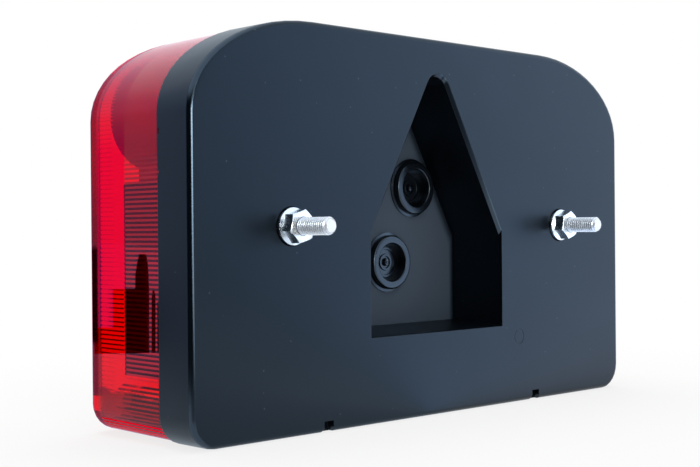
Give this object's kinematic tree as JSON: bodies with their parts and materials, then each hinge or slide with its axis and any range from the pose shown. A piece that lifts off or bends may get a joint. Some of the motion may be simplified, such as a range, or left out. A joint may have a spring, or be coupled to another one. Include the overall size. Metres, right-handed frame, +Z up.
{
  "type": "rear combination lamp",
  "caption": "Rear combination lamp with a red and amber lens on a black housing that has a recessed back with cable grommets and two threaded studs with flange nuts.",
  "frame": {"origin": "midway between the two studs, on the plane of the flange nuts' outer faces", "axes": "+X towards the stop lamp end, +Y along the studs towards the vehicle, +Z up; left and right are named as seen from the front, so left is -X"},
  "size_m": [0.231, 0.0805, 0.14],
  "materials": {
    "housing": "smooth black, satin sheen",
    "grommet": "matt black",
    "zinc": "bright zinc plated",
    "lens_red": "clear red acrylic, glossy",
    "lens_amber": "clear amber acrylic, glossy",
    "reflector": "vacuum metallised on the inside",
    "holder": "matt",
    "bulb_amber": "amber glass",
    "bulb_clear": "clear glass",
    "brass": "plain"
  },
  "bodies": {
    "root": {"housing": "housing", "grommet_lower": "grommet", "grommet_upper": "grommet", "stud_bolt_left": "zinc", "stud_bolt_right": "zinc", "flange_nut_left": "zinc", "flange_nut_right": "zinc", "lens_red": "lens_red", "lens_amber": "lens_amber", "reflex_reflector": "lens_red", "gasket": "grommet", "lens_screws": "zinc", "reflector_left": "reflector", "reflector_right": "reflector", "reflector_screws": "zinc", "bulb_holder_indicator": "holder", "bulb_holder_stop": "holder", "bulb_holder_tail_left": "holder", "bulb_holder_tail_right": "holder", "bulb_indicator": "bulb_amber", "bulb_stop": "bulb_clear", "bulb_tail_left": "bulb_clear", "bulb_tail_right": "bulb_clear", "contact_strips_left": "brass", "contact_strips_right": "brass", "tail_strips_left": "brass", "tail_strips_right": "brass", "terminal_block": "holder", "terminal_screws": "zinc", "block_screws": "zinc"}
  },
  "joints": []
}
